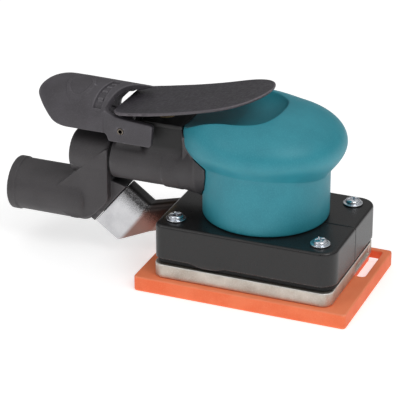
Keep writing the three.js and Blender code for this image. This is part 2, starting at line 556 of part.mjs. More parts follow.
function buildDuct() {
  const h = DUCT.half;
  const w = DUCT.wall;
  const straight = prismY([JOINT_TOP, JOINT_BOTTOM, MITRE_BOTTOM, MITRE_TOP], -h, h);
  const port = { x: SHROUD.x0 - 1.4, y0: -1, y1: 9.6, z0: 18.3, z1: 31.4 };
  const quad = (p, q, y0, y1) => [[q[0], y0, q[1]], [p[0], y0, p[1]], [p[0], y1, p[1]], [q[0], y1, q[1]]];
  const mitre = quad([MITRE_TOP[0] - 0.02, MITRE_TOP[1]], [MITRE_BOTTOM[0] - 0.02, MITRE_BOTTOM[1]], -h, h);
  const mouth = quad([port.x, port.z1], [port.x, port.z0], port.y0, port.y1);
  let duct = join(straight, wedge(mitre, mouth));
  const along = [0.63, 0.77];
  const inset = (p, q, k) => [p[0] + along[0] * k, p[1] + along[1] * k, q];
  const [jt, jb, mb, mt] = [
    inset([-69.6, 38.7], 0, -w), inset([-86.4, 18.1], 0, w), inset(MITRE_BOTTOM, 0, w), inset(MITRE_TOP, 0, -w),
  ].map(([x, z]) => [x, z]);
  duct = cut(duct, prismY([jt, jb, mb, mt], -h + w, h - w));
  const inMitre = quad([mt[0] - 0.6, mt[1] + 0.4], [mb[0] - 0.6, mb[1] + 0.4], -h + w, h - w);
  const inMouth = quad([port.x + 1, port.z1 - w], [port.x + 1, port.z0 + w], port.y0 + w, port.y1 - w);
  piece('vacuum_duct', cut(duct, wedge(inMitre, inMouth)), CAST);
  const gasketX = port.x + 0.3;
  const gasket = cut(
    box(gasketX, gasketX + 0.8, port.y0, port.y1, port.z0, port.z1),
    box(gasketX - 1, gasketX + 2, port.y0 + w, port.y1 - w, port.z0 + w, port.z1 - w),
  );
  piece('duct_gasket', gasket, RUBBER);
}

// The jet that blows the motor's exhaust down the pipe; a drilling feeds it from round the inlet bushing.
const nozzleFeed = () => cylZ(1.2, NOZZLE.z, 43.5, NOZZLE.frontX - 1.4, 0, 12);
function buildNozzle() {
  const { z, rearX, frontX } = NOZZLE;
  const nozzle = join(cylX(2.6, rearX, -87.6, 0, z, FINE), cylX(1.9, -87.7, frontX, 0, z, FINE));
  piece('exhaust_nozzle', cut(nozzle, cylX(1.2, rearX - 1, frontX - 0.6, 0, z, 12), nozzleFeed()), BRASS);
}

buildPad();
buildPlate();
buildShroud();
buildSeal();
buildLegsAndScrews();
buildHousing();
buildGrip();
buildMotor();
buildRotor();
buildGuard();
buildLever();
buildValve();
buildInlet();
buildFitting();
buildDuct();
buildNozzle();

export default sander;
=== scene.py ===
"""Air-powered rectangular-pad orbital sander: the looks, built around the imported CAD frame.

Every moulded or machined piece is an implicit solid: a function that is negative inside the piece and
gives roughly the distance to its surface outside. Cuts, joins and fillets combine those functions, and
one routine turns the result into a mesh whose points lie on the surface itself, thinned where it is flat.
The solids work in millimetres in the frame's own axes, and the meshes are in metres.
"""

import json
import math

import bpy
import numpy as np
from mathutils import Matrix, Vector


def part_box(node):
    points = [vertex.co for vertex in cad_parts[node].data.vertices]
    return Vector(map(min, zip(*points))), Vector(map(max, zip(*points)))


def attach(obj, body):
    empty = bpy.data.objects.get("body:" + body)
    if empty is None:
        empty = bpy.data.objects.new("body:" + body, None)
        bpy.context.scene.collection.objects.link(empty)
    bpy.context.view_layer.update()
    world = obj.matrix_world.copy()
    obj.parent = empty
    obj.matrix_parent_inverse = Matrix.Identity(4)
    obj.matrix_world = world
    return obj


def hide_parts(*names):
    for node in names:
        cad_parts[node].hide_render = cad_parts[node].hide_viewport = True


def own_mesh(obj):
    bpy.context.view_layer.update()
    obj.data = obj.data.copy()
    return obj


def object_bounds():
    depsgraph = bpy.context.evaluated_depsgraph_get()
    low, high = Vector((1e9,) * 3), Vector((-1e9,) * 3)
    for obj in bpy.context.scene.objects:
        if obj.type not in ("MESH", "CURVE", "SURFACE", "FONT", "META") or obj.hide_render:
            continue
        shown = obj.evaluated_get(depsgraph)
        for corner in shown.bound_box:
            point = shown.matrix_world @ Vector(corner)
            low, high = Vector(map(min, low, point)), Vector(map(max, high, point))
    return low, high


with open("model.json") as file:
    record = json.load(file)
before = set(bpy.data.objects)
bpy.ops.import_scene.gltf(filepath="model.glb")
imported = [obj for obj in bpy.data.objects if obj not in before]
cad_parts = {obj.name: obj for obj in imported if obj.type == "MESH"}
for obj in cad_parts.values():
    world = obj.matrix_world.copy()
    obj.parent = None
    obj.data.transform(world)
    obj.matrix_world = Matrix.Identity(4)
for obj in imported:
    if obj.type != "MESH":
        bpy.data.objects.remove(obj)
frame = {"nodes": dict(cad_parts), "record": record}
cad_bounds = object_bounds()

MM = 0.001
GAP = 0.3  # clearance between touching pieces
PAST = 5.0  # how far a cutting solid runs past the face that it opens


def span(node):
    """Lowest and highest corner of a CAD node, in millimetres."""
    low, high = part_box(node)
    return np.array(low) / MM, np.array(high) / MM


def centre(node):
    low, high = span(node)
    return (low + high) / 2


# ---- where things are, read from the frame ----
PAD_LOW, PAD_HIGH = span("sanding_pad")
PLATE_LOW, PLATE_HIGH = span("pad_plate")
SHROUD_LOW, SHROUD_HIGH = span("base_shroud")
SEAL_LOW, SEAL_HIGH = span("shroud_seal")
GRIP_LOW, GRIP_HIGH = span("grip_cover")
HOUSING_LOW, HOUSING_HIGH = span("motor_housing")
LEVER_LOW, LEVER_HIGH = span("throttle_lever")
GUARD_LOW, GUARD_HIGH = span("lever_guard")
FITTING_LOW, _ = span("vacuum_fitting")
_, DUCT_HIGH = span("vacuum_duct")
MOTOR_Y = centre("rotor")[1]
PIN_X, _, PIN_Z = centre("lever_pin")
STEM_X = centre("valve_stem")[0]
HANDLE_Z = centre("collar_ring")[2]
SCREWS = [centre(f"shroud_screw_{i}") for i in (1, 2, 3, 4)]
CAN_RADIUS = HOUSING_HIGH[0]
CAN_TOP = 73.2
HANDLE_RADIUS = 10.5


# ---- implicit solids: combining them ----
def hypot(*parts):
    return np.sqrt(sum(part * part for part in parts))


def _blend_min(a, b, r):
    if not r:
        return np.minimum(a, b)
    return np.maximum(r, np.minimum(a, b)) - hypot(np.maximum(r - a, 0), np.maximum(r - b, 0))


def rimmed(a, b):
    """The distance outside of both limits a and b, rounded about their common edge."""
    return np.minimum(np.maximum(a, b), 0) + hypot(np.maximum(a, 0), np.maximum(b, 0))


def join(*solids, r=0.0):
    """All the solids together, with a fillet of radius r in each inner corner."""
    def at(x, y, z):
        total = solids[0](x, y, z)
        for solid in solids[1:]:
            total = _blend_min(total, solid(x, y, z), r)
        return total
    return at


def meet(*solids, r=0.0):
    """What the solids share, with the edges between them rounded to r."""
    def at(x, y, z):
        total = solids[0](x, y, z)
        for solid in solids[1:]:
            total = -_blend_min(-total, -solid(x, y, z), r)
        return total
    return at


def cut(base, *tools, r=0.0):
    """The base less the tools, with the edges that they leave rounded to r."""
    def at(x, y, z):
        total = base(x, y, z)
        for tool in tools:
            total = -_blend_min(-total, tool(x, y, z), r)
        return total
    return at


# ---- flat sections: functions of two coordinates ----
def disc(u0, v0, radius):
    return lambda u, v: hypot(u - u0, v - v0) - radius


def rectangle(u0, u1, v0, v1, r=0.0, rear=None):
    """A rectangle with corners of radius r, or of radius rear at its low-u end."""
    rear = r if rear is None else rear

    def at(u, v):
        radius = np.where(u > (u0 + u1) / 2, r, rear)
        a = abs(u - (u0 + u1) / 2) - (u1 - u0) / 2 + radius
        b = abs(v - (v0 + v1) / 2) - (v1 - v0) / 2 + radius
        return rimmed(a, b) - radius
    return at


def polygon(points):
    """A closed outline of [u, v] points."""
    def at(u, v):
        nearest, inside = np.inf, False
        for i, (bu, bv) in enumerate(points):
            au, av = points[i - 1]
            du, dv = bu - au, bv - av
            if du == 0 and dv == 0:
                continue
            wu, wv = u - au, v - av
            t = np.clip((wu * du + wv * dv) / (du * du + dv * dv), 0, 1)
            nearest = np.minimum(nearest, (wu - du * t) ** 2 + (wv - dv * t) ** 2)
            if dv:
                inside = inside ^ (((av > v) != (bv > v)) & (wu < du * wv / dv))
        return np.sqrt(nearest) * np.where(inside, -1, 1)
    return at


def eased(points, reach, steps=5):
    """The same outline with its corners rounded: reach is how far from a corner the rounding starts."""
    points = [np.array(p, float) for p in points]
    reaches = reach if isinstance(reach, (list, tuple)) else [reach] * len(points)
    out = []
    for i, corner in enumerate(points):
        back, ahead = points[i - 1] - corner, points[(i + 1) % len(points)] - corner
        lengths = [np.linalg.norm(back), np.linalg.norm(ahead)]
        r = min(reaches[i], 0.48 * min(lengths))
        if r <= 0:
            out.append(tuple(corner))
            continue
        start, end = corner + back / lengths[0] * r, corner + ahead / lengths[1] * r
        for k in range(steps + 1):
            t = k / steps
            out.append(tuple((1 - t) ** 2 * start + 2 * t * (1 - t) * corner + t * t * end))
    return out


# ---- solids from sections ----
X, Y, Z = 0, 1, 2


def extrude(section, axis, low, high, rim=0.0):
    """A section drawn out along an axis, with both rims rounded."""
    def at(x, y, z):
        across = [x, y, z]
        along = abs(across.pop(axis) - (low + high) / 2) - (high - low) / 2 + rim
        return rimmed(section(*across) + rim, along) - rim
    return at


def rod(axis, radius, low, high, u=0.0, v=0.0, rim=0.0):
    return extrude(disc(u, v, radius), axis, low, high, rim)


def block(x0, x1, y0, y1, z0, z1, rim=0.0):
    return extrude(rectangle(x0, x1, y0, y1, rim), Z, z0, z1, rim)


def turned(axis, profile, u=0.0, v=0.0):
    """A profile of [radius, height] points turned about a line along the axis."""
    section = polygon(profile)

    def at(x, y, z):
        across = [x, y, z]
        along = across.pop(axis)
        return section(hypot(across[0] - u, across[1] - v), along)
    return at


def half_space(axis, limit, side=1):
    """Everything below the limit along an axis, or above it with side -1."""
    return lambda x, y, z: side * ([x, y, z][axis] - limit)


# ---- from a solid to a mesh ----
CELL = [(i, j, k) for i in (0, 1) for j in (0, 1) for k in (0, 1)]
KEPT_FACES = 0.5  # share of a mesh's faces that thinning leaves


def surface_net(solid, low, high, step):
    """Points (mm) and quads of the surface where the solid is zero: one point in each crossed cell."""
    axes = [np.arange(a - 1.5 * step, b + 2.5 * step, step) for a, b in zip(low, high)]
    shape = [len(a) for a in axes]
    value = np.array(np.broadcast_to(solid(*np.meshgrid(*axes, indexing="ij", sparse=True)), shape))
    inside = value < 0
    count = sum(
        inside[i:shape[0] - 1 + i, j:shape[1] - 1 + j, k:shape[2] - 1 + k].astype(np.int8) for i, j, k in CELL
    )
    crossed = (count > 0) & (count < 8)
    cells = np.argwhere(crossed)
    number = np.full(crossed.shape, -1, np.int64)
    number[crossed] = np.arange(len(cells))
    total, hits = np.zeros((len(cells), 3)), np.zeros(len(cells))
    for axis in (X, Y, Z):
        ahead = np.eye(3, dtype=int)[axis]
        for corner in CELL:
            if corner[axis]:
                continue
            start = cells + corner
            a, b = value[tuple(start.T)], value[tuple((start + ahead).T)]
            changes = (a < 0) != (b < 0)
            t = a[changes] / (a[changes] - b[changes])
            total[changes] += start[changes] + t[:, None] * ahead
            hits[changes] += 1
    points = np.array([a[0] for a in axes]) + step * total / hits[:, None]
    quads = []
    for axis in (X, Y, Z):
        ahead, u, v = (np.eye(3, dtype=int)[(axis + k) % 3] for k in range(3))
        size = [n - a for n, a in zip(shape, ahead)]
        first = inside[:size[0], :size[1], :size[2]]
        edges = np.argwhere(first != inside[ahead[0]:, ahead[1]:, ahead[2]:])
        ring = np.stack([number[tuple((edges - shift).T)] for shift in (u + v, v, 0 * u, u)], 1)
        leaves = first[tuple(edges.T)]
        quads.append(np.where(leaves[:, None], ring, ring[:, ::-1]))
    return points, np.concatenate(quads)


def settle(solid, points, step):
    """Moves the points onto the surface itself, along the solid's slope."""
    probe, rounds, longest = 0.05, 3, 0.4 * step
    for _ in range(rounds):
        here = solid(*points.T)
        slope = np.stack([solid(*(points + probe * side).T) - here for side in np.eye(3)], 1) / probe
        steepness = np.maximum((slope ** 2).sum(1), 0.05)
        move = -(here / steepness)[:, None] * slope
        length = np.linalg.norm(move, axis=1)
        move *= np.minimum(1, longest / np.maximum(length, 1e-9))[:, None]
        points = points + move
    return points


def shape_mesh(name, points, quads):
    """A smooth-shaded mesh in metres, thinned so that its flat stretches lose faces first."""
    mesh = bpy.data.meshes.new(name)
    mesh.vertices.add(len(points))
    mesh.vertices.foreach_set("co", (points * MM).astype(np.float32).ravel())
    mesh.loops.add(quads.size)
    mesh.loops.foreach_set("vertex_index", quads.astype(np.int32).ravel())
    mesh.polygons.add(len(quads))
    mesh.polygons.foreach_set("loop_start", np.arange(0, quads.size, 4, dtype=np.int32))
    mesh.update(calc_edges=True)
    draft = bpy.data.objects.new(name + "_draft", mesh)
    bpy.context.scene.collection.objects.link(draft)
    draft.modifiers.new("thin", "DECIMATE").ratio = KEPT_FACES
    graph = bpy.context.evaluated_depsgraph_get()
    thinned = bpy.data.meshes.new_from_object(draft.evaluated_get(graph))
    bpy.data.objects.remove(draft)
    bpy.data.meshes.remove(mesh)
    thinned.name = name
    thinned.polygons.foreach_set("use_smooth", np.ones(len(thinned.polygons), bool))
    thinned.validate()
    return thinned


def make(name, solid, step, body, node, finish=None, box=None):
    """The solid, meshed at a step in mm, as an object that rides on a body and stands for a CAD node."""
    low, high = box or span(node)
    points, quads = surface_net(solid, low, high, step)
    mesh = shape_mesh(name, settle(solid, points, step), quads)
    mesh.materials.append(finish or FINISHES[SLOTS[node]])
    piece = bpy.data.objects.new(name, mesh)
    bpy.context.scene.collection.objects.link(piece)
    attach(piece, body)
    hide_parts(node)
    return piece


# ---- finishes ----
def srgb(*levels):
    """Display levels 0..255 as the linear colour that the shader wants."""
    linear = [((c / 255 + 0.055) / 1.055) ** 2.4 if c > 10 else c / 255 / 12.92 for c in levels]
    return (*linear, 1.0)


class Finish:
    """A material under construction: a Principled shader and the nodes that feed it."""

    def __init__(self, name):
        self.material = bpy.data.materials.new(name)
        self.material.use_nodes = True
        self.tree = self.material.node_tree
        self.shader = self.tree.nodes["Principled BSDF"]
        self.place = self.node("ShaderNodeTexCoord").outputs["Object"]

    def node(self, kind, **settings):
        made = self.tree.nodes.new(kind)
        for key, value in settings.items():
            setattr(made, key, value)
        return made

    def link(self, source, target):
        self.tree.links.new(source, target)

    def stretched(self, factors):
        mapping = self.node("ShaderNodeMapping")
        mapping.inputs["Scale"].default_value = factors
        self.link(self.place, mapping.inputs["Vector"])
        return mapping.outputs["Vector"]

    def noise(self, size_mm, detail=3.0, rough=0.55, vector=None):
        """Cloudy noise whose blotches are about size_mm across, 0 to 1."""
        made = self.node("ShaderNodeTexNoise")
        made.inputs["Scale"].default_value = 1 / (size_mm * MM)
        made.inputs["Detail"].default_value = detail
        made.inputs["Roughness"].default_value = rough
        self.link(vector or self.place, made.inputs["Vector"])
        return made.outputs["Fac"]

    def cells(self, size_mm, feature="F1"):
        """Distance to the middle of the nearest of many cells about size_mm across."""
        made = self.node("ShaderNodeTexVoronoi", feature=feature)
        made.inputs["Scale"].default_value = 1 / (size_mm * MM)
        self.link(self.place, made.inputs["Vector"])
        return made.outputs["Distance"]

    def parts(self, vector):
        """The X, Y and Z of a vector."""
        split = self.node("ShaderNodeSeparateXYZ")
        self.link(vector, split.inputs[0])
        return split.outputs

    def remap(self, source, low, high, to_low, to_high):
        made = self.node("ShaderNodeMapRange", clamp=True)
        limits = {"From Min": low, "From Max": high, "To Min": to_low, "To Max": to_high}
        for key, value in limits.items():
            made.inputs[key].default_value = value
        self.link(source, made.inputs["Value"])
        return made.outputs["Result"]

    def math(self, kind, a, b):
        made = self.node("ShaderNodeMath", operation=kind)
        for socket, value in zip(made.inputs, (a, b)):
            if isinstance(value, (int, float)):
                socket.default_value = value
            else:
                self.link(value, socket)
        return made.outputs[0]

    def mix(self, factor, a, b):
        made = self.node("ShaderNodeMix", data_type="RGBA")
        self.link(factor, made.inputs["Factor"])
        for key, value in (("A", a), ("B", b)):
            socket = [s for s in made.inputs if s.name == key and s.type == "RGBA"][0]
            if isinstance(value, tuple):
                socket.default_value = value
            else:
                self.link(value, socket)
        return [s for s in made.outputs if s.type == "RGBA"][0]

    def edges(self):
        """0 on flat and hollow stretches, up to 1 on outer edges."""
        return self.remap(self.node("ShaderNodeNewGeometry").outputs["Pointiness"], 0.515, 0.56, 0, 1)

    def colour(self, source):
        self.link(source, self.shader.inputs["Base Color"])

    def roughness(self, source):
        self.link(source, self.shader.inputs["Roughness"])

    def bump(self, height, depth_mm, strength=1.0):
        made = self.node("ShaderNodeBump")
        made.inputs["Distance"].default_value = depth_mm * MM
        made.inputs["Strength"].default_value = strength
        self.link(height, made.inputs["Height"])
        self.link(made.outputs["Normal"], self.shader.inputs["Normal"])

    def set(self, socket, value):
        self.shader.inputs[socket].default_value = value


def moulded(name, base, dark, light, grain_mm, depth_mm, rough, patch_mm, worn=None, painted_shade_reach=0):
    """Moulded plastic or rubber: an eroded-mould grain, cloudy tone and slightly polished edges.

    worn is the tone of rubbed edges; the last argument is how far in mm the painted shade looks for walls,
    and closed-in corners that it finds are painted nearly black as shade.
    """
    f = Finish(name)
    grain = f.noise(grain_mm, 2.0, 0.6)
    pits = f.cells(grain_mm * 1.7)
    cloud = f.noise(patch_mm, 4.0)
    f.tone = f.mix(f.remap(cloud, 0.35, 0.65, 0, 1), srgb(*dark), srgb(*base))
    f.tone = f.mix(f.remap(grain, 0.45, 0.75, 0, 0.5), f.tone, srgb(*light))
    if worn:
        rubbed = f.math("MULTIPLY", f.edges(), f.remap(cloud, 0.3, 0.6, 0.25, 0.8))
        f.tone = f.mix(rubbed, f.tone, srgb(*worn))
    if painted_shade_reach:
        # painted shade: corners closed in by near walls are darkened towards black
        nook = f.node("ShaderNodeAmbientOcclusion", samples=8)
        nook.inputs["Distance"].default_value = painted_shade_reach * MM
        f.tone = f.mix(f.remap(nook.outputs["AO"], 0.15, 0.45, 0.95, 0), f.tone, srgb(12, 12, 12))
    f.colour(f.tone)
    f.roughness(f.math("SUBTRACT", f.remap(grain, 0.3, 0.7, *rough), f.math("MULTIPLY", f.edges(), 0.08)))
    f.bump(f.math("ADD", grain, f.math("MULTIPLY", pits, 0.6)), depth_mm)
    return f


def metal(name, base, dark, light, rough=(0.2, 0.35), grain_mm=0.5, depth_mm=0.01, stretch=(1, 1, 1)):
    """Bare metal: brushed or blasted grain, dull patches, brighter rubbed edges."""
    f = Finish(name)
    grain = f.noise(grain_mm, 4.0, 0.65, f.stretched(stretch))
    cloud = f.noise(9, 3.0)
    f.tone = f.mix(f.remap(cloud, 0.35, 0.7, 0, 0.8), srgb(*base), srgb(*dark))
    f.tone = f.mix(f.remap(grain, 0.5, 0.75, 0, 0.5), f.tone, srgb(*light))
    f.tone = f.mix(f.edges(), f.tone, srgb(*light))
    f.colour(f.tone)
    f.roughness(f.math("ADD", f.remap(grain, 0.3, 0.7, *rough), f.remap(cloud, 0.4, 0.7, 0, 0.07)))
    f.bump(grain, depth_mm)
    f.set("Metallic", 1.0)
    return f


def duct_finish():
    """Bright duct sheet, with painted shade and a painted dark reflection of the handle across its upper
    side, and a painted brownish reflection of the orange pad past the mitre.
    """
    f = metal("duct_aluminium", (208, 208, 210), (186, 186, 189), (228, 228, 230), (0.32, 0.46), 0.45, 0.02)
    place = f.parts(f.place)
    # painted reflection of the orange pad: brownish past the mitre
    mitre_lean = 0.786
    past_mitre = f.math("SUBTRACT", place["X"], f.math("MULTIPLY", place["Z"], mitre_lean))
    tone = f.mix(f.remap(past_mitre, -80.5 * MM, -78.5 * MM, 0, 0.9), f.tone, srgb(138, 104, 92))
    # painted shade and dark reflection of the handle above: darker towards the upper side, with a speckled
    # edge
    upward = f.math("ADD", f.math("MULTIPLY", place["X"], 0.63), f.math("MULTIPLY", place["Z"], 0.77))
    speckle = f.math("MULTIPLY", f.math("SUBTRACT", f.noise(0.5, 3.0), 0.5), 14 * MM)
    painted_handle_shade = f.remap(f.math("ADD", upward, speckle), -22.5 * MM, -15 * MM, 0, 0.93)
    f.colour(f.mix(painted_handle_shade, tone, srgb(52, 50, 50)))
    return f.material


def pad_foam():
    """Dense orange polyurethane: fine closed cells, painted lighter on top where light falls from above, and
    paler where its edges are rubbed.
    """
    f = Finish("pad_foam")
    cells = f.cells(0.7)
    grain = f.noise(0.45, 3.0)
    cloud = f.noise(11, 4.0)
    tone = f.mix(f.remap(cloud, 0.35, 0.65, 0, 1), srgb(246, 112, 62), srgb(253, 128, 80))
    tone = f.mix(f.remap(grain, 0.5, 0.72, 0, 0.45), tone, srgb(255, 146, 104))
    tone = f.mix(f.remap(cells, 0.0, 0.25, 0.35, 0), tone, srgb(205, 74, 34))
    # painted light: faces turned up are made paler
    upward = f.parts(f.node("ShaderNodeNewGeometry").outputs["Normal"])["Z"]
    tone = f.mix(f.remap(upward, 0.6, 0.95, 0, 0.4), tone, srgb(255, 158, 112))
    f.colour(f.mix(f.math("MULTIPLY", f.edges(), 0.6), tone, srgb(250, 160, 122)))
    f.roughness(f.remap(grain, 0.3, 0.7, 0.55, 0.75))
    f.bump(f.math("ADD", grain, f.math("MULTIPLY", cells, 0.8)), 0.05)
    return f.material


def lever_finish():
    """Black paddle with a pebbled top."""
    f = Finish("lever_pebble")
    pebble = f.cells(1.3, "SMOOTH_F1")
    grain = f.noise(0.4, 3.0)
    blotch = f.noise(4.5, 4.0, 0.65)
    tone = f.mix(f.remap(blotch, 0.35, 0.65, 0, 1), srgb(44, 42, 46), srgb(56, 53, 59))
    tone = f.mix(f.remap(grain, 0.5, 0.75, 0, 0.5), tone, srgb(76, 72, 79))
    f.colour(f.mix(f.math("MULTIPLY", f.edges(), 0.75), tone, srgb(128, 120, 126)))
    f.roughness(f.remap(pebble, 0.1, 0.7, 0.42, 0.6))
    f.bump(f.math("SUBTRACT", f.math("MULTIPLY", grain, 0.5), pebble), 0.16, 0.8)
    return f.material


def housing_finish():
    """Black plastic, with painted shade that makes it nearly black where it is shut in under the paddle."""
    # the last argument paints shade into the corners under the paddle
    f = moulded("housing_plastic", (66, 63, 65), (58, 55, 57), (88, 85, 87), 0.32, 0.03, (0.5, 0.64), 14,
                worn=(92, 90, 92), painted_shade_reach=14)
    place = f.parts(f.place)
    # painted shade under the paddle: high up and behind the grip the colour goes nearly black
    upward = f.remap(place["Z"], 59.5 * MM, 63 * MM, 0, 0.88)
    behind_grip = f.remap(place["X"], -39 * MM, -37 * MM, 1, 0)
    f.colour(f.mix(f.math("MULTIPLY", upward, behind_grip), f.tone, srgb(9, 9, 9)))
    return f.material


GUARD_PLASTIC = moulded("guard_plastic", (72, 69, 74), (62, 59, 63), (96, 92, 98), 0.36, 0.035,
                        (0.5, 0.64), 12, worn=(112, 109, 114))
SHROUD_PLASTIC = moulded("shroud_plastic", (23, 22, 22), (19, 18, 18), (32, 30, 31), 0.5, 0.012,
                         (0.26, 0.38), 18, worn=(92, 88, 89))
TEAL = moulded("teal_rubber", (42, 142, 158), (34, 131, 147), (66, 160, 174), 0.5, 0.035, (0.42, 0.56), 16)
RUBBER = moulded("black_rubber", (18, 18, 19), (13, 13, 14), (30, 30, 31), 0.4, 0.03, (0.65, 0.8), 8)
PHENOLIC = moulded("phenolic", (122, 74, 40), (96, 56, 30), (160, 108, 66), 0.8, 0.02, (0.5, 0.65), 3)
CAST_PLATE = metal("cast_aluminium", (206, 200, 190), (176, 168, 156), (236, 234, 230), (0.4, 0.55),
                   0.6, 0.03)
STEEL = metal("steel", (190, 192, 196), (160, 162, 168), (225, 226, 230), stretch=(1, 1, 4))
PIN_STEEL = metal("pin_steel", (96, 88, 80), (70, 64, 58), (150, 140, 130))
ZINC = metal("zinc_plate", (214, 218, 224), (190, 196, 206), (240, 242, 246), (0.12, 0.22), 0.4, 0.006)
BRASS = metal("brass", (158, 128, 74), (112, 86, 46), (206, 178, 120), (0.22, 0.38), 0.5, 0.008)
FINISHES = {
    "pad_orange": pad_foam(), "cast_plate": CAST_PLATE.material, "steel": STEEL.material,
    "zinc": ZINC.material, "black_rubber": RUBBER.material, "shroud_black": SHROUD_PLASTIC.material,
    "housing_black": housing_finish(), "lever_black": lever_finish(), "grip_teal": TEAL.material,
    "phenolic": PHENOLIC.material, "brass": BRASS.material, "duct_aluminium": duct_finish(),
}
SLOTS = {part["node"]: part["material_slot"] for part in frame["record"]["subparts"]}


# ---- pad and backing plate ----
def make_pad():
    (x0, y0, z0), (x1, y1, z1) = PAD_LOW, PAD_HIGH
    corner, edge = 1.8, 0.6
    body = extrude(rectangle(x0, x1, y0, y1, corner), Z, z0, z1, edge)
    front, rear, far, near = x1 - 3.8, x1 - 11.6, y1 - 2.7, y1 - 31.7
    slot = extrude(rectangle(rear, front, near, far, corner), Z, z0 - PAST, z1 + PAST)
    run_out = block(rear, front, far - 3, y1 + PAST, z0 - PAST, z0 + 3)
    pad = make("rubber_pad", cut(body, join(slot, run_out), r=0.35), 0.55, "pad", "sanding_pad")


def make_plate():
    x1, y1, z0 = PLATE_HIGH[0], PLATE_HIGH[1], PLATE_LOW[2]
    top, floor, wall, hub, hub_top = z0 + 6.7, z0 + 2.6, 3.2, 15, PLATE_HIGH[2]
    tray = extrude(rectangle(-x1, x1, -y1, y1, 5), Z, z0, top, 0.4)
    well = extrude(rectangle(-x1 + wall, x1 - wall, -y1 + wall, y1 - wall, 3), Z, floor, top + PAST)
    tray = join(cut(tray, well, r=0.4), rod(Z, hub, floor - 1, hub_top, rim=0.4), r=1.0)
    bearing_seat = rod(Z, 11.1, z0 + 5.6, hub_top + PAST)
    tray = cut(tray, bearing_seat, r=0.3)
    notch = block(x1 - 1.1, x1 + PAST, 4, y1 - 8, z0 + 1.4, top - 1.2, 0.4)
    holes = []
    for x, y, _ in SCREWS:
        holes.append(join(rod(Z, 2.2, z0 - PAST, floor + PAST, x, y), rod(Z, 4.2, z0 - PAST, z0 + 1.3, x, y)))
    make("backing_plate", cut(tray, notch, *holes, r=0.25), 0.45, "pad", "pad_plate")


# ---- shroud ----
def make_shroud():
    (x0, y0, hem), (x1, y1, top) = SHROUD_LOW, SHROUD_HIGH
    base, wall, roof = SEAL_HIGH[2] + GAP, 3.1, top - 3.5
    well, screw_hole = 24.5, 2.25
    outer = extrude(rectangle(x0, x1, y0, y1, 8, 4.5), Z, base - 3, top, 1.5)
    outer = meet(outer, half_space(Z, base, -1), r=0.3)
    room = extrude(rectangle(x0 + wall, x1 - wall, y0 + wall, y1 - wall, 5, 3), Z, base - 9, roof)
    shell = cut(outer, room, r=0.3)
    lip_x, lip_half = -16.5, 8.6

    def lips(x, y, z):
        """A curved lip that hangs from the hem on either side."""
        along = (x - lip_x) / lip_half
        hang = base - (base - hem) * np.clip(1 - along ** 2, -1, 1)
        across = abs(abs(y) - y1 + 0.8) - 0.7
        ends = abs(x - lip_x) - lip_half
        return np.maximum(np.maximum(across, ends), np.maximum(hang - z, z - base - 2))

    shell = cut(join(shell, lips, r=0.3), rod(Z, well, roof - PAST, top + PAST, 0, MOTOR_Y), r=0.3)
    shell = cut(shell, *[rod(Z, screw_hole, roof - PAST, top + PAST, x, y) for x, y, _ in SCREWS])
    shell = cut(shell, block(x0 - PAST, x0 + wall + 1, 0, 8.4, base + 2.4, top - 4.6), r=0.3)
    seam_y, seam_half, seam_depth = -1.0, 0.5, 0.4

    def seamed(x, y, z):
        groove = seam_depth * np.clip(1 - abs(y - seam_y) / seam_half, 0, 1) * (x > well)
        return shell(x, y, z) + groove
    make("shroud_cover", seamed, 0.42, "housing", "base_shroud")


def make_seal():
    (x0, y0, z0), (x1, y1, z1) = SEAL_LOW, SEAL_HIGH
    thick = 1.6
    band = extrude(rectangle(x0, x1, y0, y1, 7, 4), Z, z0, z1, 0.5)
    inside = rectangle(x0 + thick, x1 - thick, y0 + thick, y1 - thick, 5.4, 3)
    hollow = extrude(inside, Z, z0 - PAST, z1 + PAST)
    make("seal_strip", cut(band, hollow, r=0.3), 0.4, "housing", "shroud_seal")


def cross_recess(x, y, top):
    """A pan head's cross recess: two tapering wings and a middle cone, turned a little."""
    turn, reach, half, middle = math.pi / 5, 2.35, 0.42, 0.95

    def wing(along, across):
        return np.maximum(abs(along) - reach, abs(across) - half)

    def at(px, py, pz):
        dx, dy = px - x, py - y
        along = dx * math.cos(turn) + dy * math.sin(turn)
        across = dy * math.cos(turn) - dx * math.sin(turn)
        bottom = top - 1.75 + 0.45 * hypot(dx, dy)
        wings = np.minimum(wing(along, across), wing(across, along))
        return np.maximum(_blend_min(wings, hypot(dx, dy) - middle, 0.15), bottom - pz)
    return at


def make_screws():
    flange, head, shank, height = 4.7, 3.5, 1.9, 2.85
    for i, (x, y, _) in enumerate(SCREWS, 1):
        low, high = span(f"shroud_screw_{i}")
        top = high[2]
        seat = top - height
        dome = [[0, seat], [head, seat], [head, top - 0.9], [2.4, top - 0.15], [0, top]]
        screw = join(rod(Z, flange, seat, seat + 0.9, x, y, 0.35),
                     turned(Z, eased(dome, [0, 0, 0.8, 0.8, 0]), x, y), r=0.25)
        screw = join(screw, rod(Z, shank, low[2], seat + 1, x, y, 0.4))
        screw = cut(screw, cross_recess(x, y, top), r=0.1)
        make(f"cover_screw_{i}", screw, 0.16, "housing", f"shroud_screw_{i}")


# ---- grip: straight wall, soft undercut, palm dome, and the bowl under the lever ----
GRIP_RADIUS = 29.9
BULGE, BULGE_Z, PINCH = GRIP_HIGH[0], 71.8, 3.0
SADDLE_HALF, SADDLE_Z, SADDLE_CORNER, SADDLE_PROUD = 16.6, 45.8, 6.0, 0.8
BOSS_HALF, BOSS_WAIST, BOSS_TOP = 10.8, 7.4, 76.2


